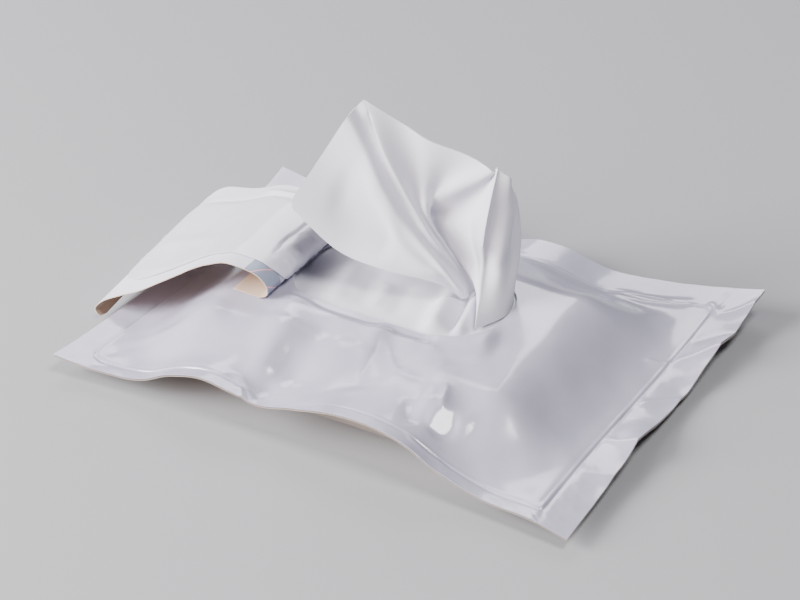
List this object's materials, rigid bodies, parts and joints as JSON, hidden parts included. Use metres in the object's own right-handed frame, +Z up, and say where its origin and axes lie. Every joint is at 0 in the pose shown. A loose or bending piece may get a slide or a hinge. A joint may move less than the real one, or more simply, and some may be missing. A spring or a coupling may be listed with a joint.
{
  "type": "wet wipes pack",
  "caption": "Open wet wipes pack: a white film pouch on its back, reseal label folded back from the cut mouth, one wipe drawn up out of the stack.",
  "frame": {"origin": "on the surface the pack lies on, under the middle of the pouch", "axes": "+X along the pouch from its left end, where the label is anchored, to its right end; +Y across the pouch from its front side to its back side; +Z up, away from the surface"},
  "size_m": [0.2309, 0.1511, 0.0947],
  "materials": {
    "pouch_film": "glossy white laminate film, softly wrinkled, with crimped heat seals",
    "pouch_underside": "the same laminate film on the underside of the pouch",
    "label": "thin white label film with a satin outer face and a dull, warm grey adhesive side",
    "cut_film": "die-cut piece of the pouch film, stuck to the label",
    "wipes": "damp white nonwoven cloth with a fine fibrous surface"
  },
  "bodies": {
    "root": {"top_film": "pouch_film", "bottom_film": "pouch_underside", "reseal_label": "label", "film_patch": "cut_film", "wipe_stack": "wipes", "next_wipe": "wipes", "drawn_wipe": "wipes"}
  },
  "joints": []
}
